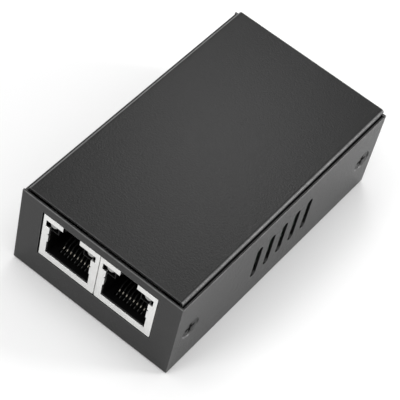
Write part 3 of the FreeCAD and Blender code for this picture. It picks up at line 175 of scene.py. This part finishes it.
# ---------------------------------------------------------------- materials


def surface(material, shader, colour, roughness):
    """Link the shader's colour and roughness."""
    connect(material, colour, shader.inputs["Base Color"])
    connect(material, roughness, shader.inputs["Roughness"])


def facing(material, axis):
    """How far the face leans toward that axis, -1 to 1."""
    normal = node(material, "ShaderNodeTexCoord").outputs["Normal"]
    return node(material, "ShaderNodeSeparateXYZ", {"Vector": normal}).outputs[axis]


def rounded_over(material):
    """1 on upper rims and bends, 0 on flat walls and tops: where the coat's painted highlight
    goes.
    """
    lean = facing(material, "Z")
    off_wall = spread(material, lean, 0.0, 1.0, 0.08, 0.3)
    off_top = spread(material, lean, 1.0, 0.0, 0.9, 0.985)
    return combine(material, off_wall, off_top, "MULTIPLY")


def side_facing(material):
    """1 on the left and right walls, 0 elsewhere."""
    lean = combine(material, facing(material, "X"), operation="ABSOLUTE")
    return spread(material, lean, 0.0, 1.0, 0.8, 0.98)


def powder_coat(name, level, grain=COAT_GRAIN, ior=1.37, roughness=0.34, rim_highlight_and_wear_grey=0.13):
    """Black powder coat: fine-grained, faintly mottled, painted paler over edges and bends as edge
    wear together with a painted highlight on the rims and bends.
    """
    material, shader = new_material(name, IOR=ior)
    pimples = noise(material, grain, detail=3.0, roughness=0.6)
    mottle = noise(material, 9 * MM, detail=4.0)
    mottled = spread(material, mottle, 0.0, 0.1)
    share = combine(material, spread(material, pimples, 0.0, 0.8), mottled)
    coat = shades(material, share, grey(level * 0.6), grey(level * 1.5))
    # Painted highlight: edges, upper rims and bends are painted paler, standing in for the light
    # they catch, mixed with edge wear
    edge = combine(material, edge_mask(material, 0.3 * MM), rounded_over(material), "MAXIMUM")
    patchy = spread(material, noise(material, 1.4 * MM), 0.6, 1.0)
    highlight_and_wear = combine(material, edge, patchy, "MULTIPLY")
    rough = spread(material, pimples, roughness - 0.03, roughness + 0.03)
    surface(material, shader, shades(material, highlight_and_wear, coat, grey(rim_highlight_and_wear_grey)), rough)
    peel = combine(material, noise(material, PEEL_GRAIN, detail=1.0), 0.5, "SUBTRACT")
    peel_height = combine(material, peel, PEEL_SHARE, "MULTIPLY")
    side_peel = combine(material, peel_height, side_facing(material), "MULTIPLY")
    coat_height = combine(material, combine(material, pimples, COAT_SHARE, "MULTIPLY"), side_peel)
    relief(material, shader, coat_height, COAT_RELIEF, edge_radius=COATED_EDGE)
    return material


def plated_sheet(name, level, roughness, tint=(1.0, 1.0, 0.985)):
    """Bright plated sheet: drawn streaks, faint dull patches, brighter cut edges."""
    material, shader = new_material(name, Metallic=1.0)
    streaks = noise(material, 0.12 * MM, detail=3.0, stretch=(1, 1, 0.05))
    dull = noise(material, 4 * MM, detail=4.0)
    patches = spread(material, dull, 0.0, 1.0)
    plate = shades(material, patches, grey(level * 0.9, tint), grey(level, tint))
    cut = shades(material, edge_mask(material, 0.1 * MM), plate, grey(min(1.0, level * 1.1)))
    patchy = spread(material, dull, roughness * 0.8, roughness * 1.1)
    streaky = spread(material, streaks, 0.0, roughness * 0.3)
    surface(material, shader, cut, combine(material, patchy, streaky))
    relief(material, shader, streaks, 0.002 * MM, 0.5, edge_radius=0.06 * MM)
    return material


def moulded_plastic(name, colour, roughness=0.42, grain=0.09 * MM, ior=1.5, glint_and_wear_share=0.6):
    """Injection-moulded plastic with a spark-eroded grain, and edges painted paler as rubbed wear
    together with a painted highlight along them.
    """
    material, shader = new_material(name, IOR=ior)
    fine = noise(material, grain, detail=2.0)
    cloud = noise(material, 3 * MM, detail=3.0)
    lighter = [min(1.0, c * 1.5) for c in colour] + [1.0]
    body = shades(material, spread(material, cloud, 0.0, 0.6), list(colour) + [1.0], lighter)
    pale = [min(1.0, c * 2.0 + 0.03) for c in colour] + [1.0]
    # Painted highlight: edges painted paler, standing in for the glints along them, mixed with
    # rubbed wear
    highlight_and_wear = combine(material, edge_mask(material, 0.08 * MM), glint_and_wear_share, "MULTIPLY")
    rough = spread(material, cloud, roughness - 0.06, roughness + 0.06)
    surface(material, shader, shades(material, highlight_and_wear, body, pale), rough)
    relief(material, shader, fine, 0.006 * MM, 0.6, edge_radius=0.05 * MM)
    return material


def spring_plate(name):
    """Spring wire, painted near-black as shade inside the socket, with a pale gold band painted as
    the glint where light catches the springs.
    """
    material, shader = new_material(name, Metallic=1.0)
    streaks = noise(material, 0.05 * MM, detail=2.0, stretch=(1, 0.15, 0.15))
    patches = spread(material, noise(material, 0.7 * MM, detail=3.0), 0.0, 1.0)
    height = node(material, "ShaderNodeSeparateXYZ", {"Vector": place(material)}).outputs["Z"]
    above_root = spread(material, height, 0.0, 1.0, *GLINT_STARTS)
    below_finger = spread(material, height, 1.0, 0.0, *GLINT_ENDS)
    # Painted light: a pale gold glint band between these heights, the rest of the spring painted
    # near-black as shade
    painted_glint = combine(material, above_root, below_finger, "MULTIPLY")
    glint_colour = shades(material, patches, (0.42, 0.39, 0.32, 1.0), (0.6, 0.57, 0.51, 1.0))
    painted_shade_grey = shades(material, patches, grey(0.012), grey(0.025))
    dull = spread(material, painted_glint, 0.7, 0.16, 0.0, 1.0)
    rough = combine(material, dull, spread(material, streaks, 0.0, 0.14))
    surface(material, shader, shades(material, painted_glint, painted_shade_grey, glint_colour), rough)
    relief(material, shader, streaks, 0.001 * MM, 0.5)
    return material


def cast_lens(name):
    """Milky cast resin with fine bubbles."""
    material, shader = new_material(name, IOR=1.52, Subsurface_Weight=0.2)
    shader.inputs["Subsurface Radius"].default_value = (0.6 * MM, 0.6 * MM, 0.6 * MM)
    cloud = noise(material, 0.6 * MM, detail=3.0)
    bubbles = spread(material, cells(material, 0.25 * MM), 1.0, 0.0, 0.0, 0.16)
    clouded = spread(material, cloud, 0.0, 1.0)
    milk = shades(material, clouded, grey(0.22), grey(0.32, (1.0, 1.0, 0.96)))
    bubbly = shades(material, bubbles, milk, grey(0.4))
    surface(material, shader, bubbly, spread(material, cloud, 0.2, 0.34))
    relief(material, shader, cloud, 0.004 * MM, 0.4, edge_radius=0.1 * MM)
    return material


def solder_resist(name):
    """Glass-cloth board under green resist, with copper tracks standing proud beneath it."""
    material, shader = new_material(name, IOR=1.52)
    bricks = {"Scale": 1 / (6 * MM), "Mortar Size": 0.05, "Mortar Smooth": 0.1}
    track = node(
        material,
        "ShaderNodeTexBrick",
        {"Vector": place(material), **bricks},
        offset=0.37,
        squash=1.6,
        squash_frequency=3,
    ).outputs["Fac"]
    threads = {"Vector": place(material), "Scale": 1 / (1.2 * MM)}
    cloth = node(material, "ShaderNodeTexWave", threads).outputs["Fac"]
    weave = spread(material, cloth, 0.0, 1.0)
    laminate = shades(material, weave, (0.004, 0.03, 0.014, 1.0), (0.006, 0.04, 0.018, 1.0))
    resist = shades(material, track, (0.01, 0.065, 0.03, 1.0), laminate)
    surface(material, shader, resist, spread(material, noise(material, 2 * MM), 0.26, 0.4))
    raised = combine(material, track, spread(material, cloth, 0.0, 0.2))
    relief(material, shader, raised, 0.03 * MM, 0.5)
    return material


def glass_film(name):
    """Thin smoky insulating film with rolled-in ripples."""
    material, shader = new_material(name, IOR=1.58)
    ripple = noise(material, 5 * MM, detail=2.0, stretch=(1, 0.15, 1))
    smoke = shades(material, spread(material, ripple, 0.0, 1.0), grey(0.05), grey(0.085))
    surface(material, shader, smoke, spread(material, ripple, 0.2, 0.32))
    relief(material, shader, ripple, 0.03 * MM, 0.5)
    return material


def wound_wire(name):
    """Enamelled copper: amber varnish over bright wire, turn beside turn."""
    material, shader = new_material(name, Metallic=1.0, Coat_Weight=0.6, Coat_Roughness=0.12)
    turns = node(
        material,
        "ShaderNodeTexWave",
        {"Vector": place(material), "Scale": 1 / (1.9 * MM), "Distortion": 0.4},
        bands_direction="Z",
    ).outputs["Fac"]
    varnish = noise(material, 1.1 * MM, detail=3.0)
    patches = spread(material, varnish, 0.0, 1.0)
    copper = shades(material, patches, (0.62, 0.22, 0.09, 1.0), (0.78, 0.34, 0.16, 1.0))
    surface(material, shader, copper, spread(material, varnish, 0.24, 0.36))
    relief(material, shader, turns, 0.08 * MM, 0.8)
    return material


def fired_ceramic(name, colour, roughness=0.5):
    """Fired and ground ceramic: grainy, with small dark pits."""
    material, shader = new_material(name, IOR=1.6)
    grain = noise(material, 0.15 * MM, detail=4.0, roughness=0.7)
    pits = spread(material, cells(material, 0.4 * MM), 1.0, 0.0, 0.03, 0.1)
    darker = [c * 0.72 for c in colour] + [1.0]
    body = shades(material, spread(material, grain, 0.0, 1.0), darker, list(colour) + [1.0])
    pitted = shades(material, pits, body, [c * 0.4 for c in colour] + [1.0])
    rough = spread(material, grain, roughness - 0.1, roughness + 0.1)
    surface(material, shader, pitted, rough)
    relief(material, shader, grain, 0.01 * MM, 0.6, edge_radius=0.08 * MM)
    return material


SCREW = {"grain": 0.2 * MM, "ior": 1.33, "roughness": 0.42, "rim_highlight_and_wear_grey": 0.05}
SOCKET = {"roughness": 0.5, "ior": 1.2, "glint_and_wear_share": 0.35}
MATERIALS = {
    "case_coat": powder_coat("case_coat", 0.007),
    "screw_coat": powder_coat("screw_coat", 0.006, **SCREW),
    "tin_plate": plated_sheet("tin_plate", 0.84, 0.3),
    # Black plastic, painted darker still as shade inside the socket mouths
    "socket_plastic": moulded_plastic("socket_plastic", (0.0015, 0.0015, 0.0016), **SOCKET),
    "contact_plate": spring_plate("contact_plate"),
    "lamp_lens": cast_lens("lamp_lens"),
    "board_resist": solder_resist("board_resist"),
    "spacer_steel": plated_sheet("spacer_steel", 0.66, 0.34, tint=(1.0, 0.98, 0.93)),
    "film_sheet": glass_film("film_sheet"),
    "chip_mould": moulded_plastic("chip_mould", (0.016, 0.016, 0.017), roughness=0.5),
    # Painted shade: the tin leads get a near-black level, standing in for the shade inside the
    # case
    "lead_tin": plated_sheet("lead_tin", 0.06, 0.5),
    "can_aluminium": plated_sheet("can_aluminium", 0.8, 0.3),
    "sleeve_plastic": moulded_plastic("sleeve_plastic", (0.012, 0.018, 0.045), roughness=0.28),
    "ferrite": fired_ceramic("ferrite", (0.06, 0.06, 0.064), roughness=0.45),
    "copper_wire": wound_wire("copper_wire"),
    "ceramic_chip": fired_ceramic("ceramic_chip", (0.42, 0.3, 0.19)),
    "resistor_glaze": moulded_plastic("resistor_glaze", (0.014, 0.014, 0.015), roughness=0.22),
}


def dress_cad_nodes():
    """Each CAD node gets its record slot's material."""
    for part in frame["record"]["subparts"]:
        piece = frame["nodes"][part["node"]]
        piece.data.materials.clear()
        piece.data.materials.append(MATERIALS[part["material_slot"]])


# ---------------------------------------------------------------- studio


def make_floor():
    """Pale paper just under the object."""
    material, shader = new_material("studio_paper", Roughness=0.9)
    mottle = spread(material, noise(material, 60 * MM, detail=3.0), 0.0, 1.0)
    paper = shades(material, mottle, grey(0.93), grey(0.95))
    connect(material, paper, shader.inputs["Base Color"])
    mesh = bpy.data.meshes.new("floor")
    build = bmesh.new()
    bmesh.ops.create_circle(build, cap_ends=True, segments=64, radius=FLOOR_RADIUS)
    build.to_mesh(mesh)
    build.free()
    floor = bpy.data.objects.new("floor", mesh)
    floor.location.z = cad_box[0].z - FLOOR_GAP
    mesh.materials.append(material)
    bpy.context.scene.collection.objects.link(floor)


def direction(azimuth, elevation):
    """The way from the object to something at that azimuth and elevation, in degrees."""
    a, e = math.radians(azimuth), math.radians(elevation)
    return Vector((math.sin(a) * math.cos(e), -math.cos(a) * math.cos(e), math.sin(e)))


def make_light(name, azimuth, elevation, distance, size, power):
    """A soft light that looks at the object.

    Azimuth 0 is in front of the sockets, and 90 to their right.
    """
    data = bpy.data.lights.new(name, "AREA")
    data.shape = "RECTANGLE"
    data.size, data.size_y = size
    data.energy = power
    light = bpy.data.objects.new(name, data)
    back = direction(azimuth, elevation)
    light.location = LIGHTS_AIM + back * distance
    light.rotation_mode = "QUATERNION"
    light.rotation_quaternion = (-back).to_track_quat("-Z", "Y")
    bpy.context.scene.collection.objects.link(light)


def make_studio():
    """Even pale surroundings and the lights."""
    world = bpy.data.worlds.new("studio")
    world.use_nodes = True
    sky = world.node_tree.nodes["Background"]
    sky.inputs["Color"].default_value = (1, 1, 1, 1)
    sky.inputs["Strength"].default_value = SKY_STRENGTH
    bpy.context.scene.world = world
    for light in LIGHTS:
        make_light(*light)
    bpy.context.scene.view_settings.view_transform = "Standard"


def make_camera():
    """Above the front right corner, and rolled a little."""
    back = direction(CAMERA_AZIMUTH, CAMERA_ELEVATION)
    data = bpy.data.cameras.new("camera")
    data.lens = CAMERA_LENS
    data.clip_start = 0.01
    camera = bpy.data.objects.new("camera", data)
    camera.location = CAMERA_AIM + back * CAMERA_DISTANCE
    camera.rotation_mode = "QUATERNION"
    roll = Quaternion((0, 0, 1), math.radians(CAMERA_ROLL))
    camera.rotation_quaternion = (-back).to_track_quat("-Z", "Y") @ roll
    bpy.context.scene.collection.objects.link(camera)
    bpy.context.scene.camera = camera


dress_cad_nodes()
make_floor()
make_studio()
make_camera()
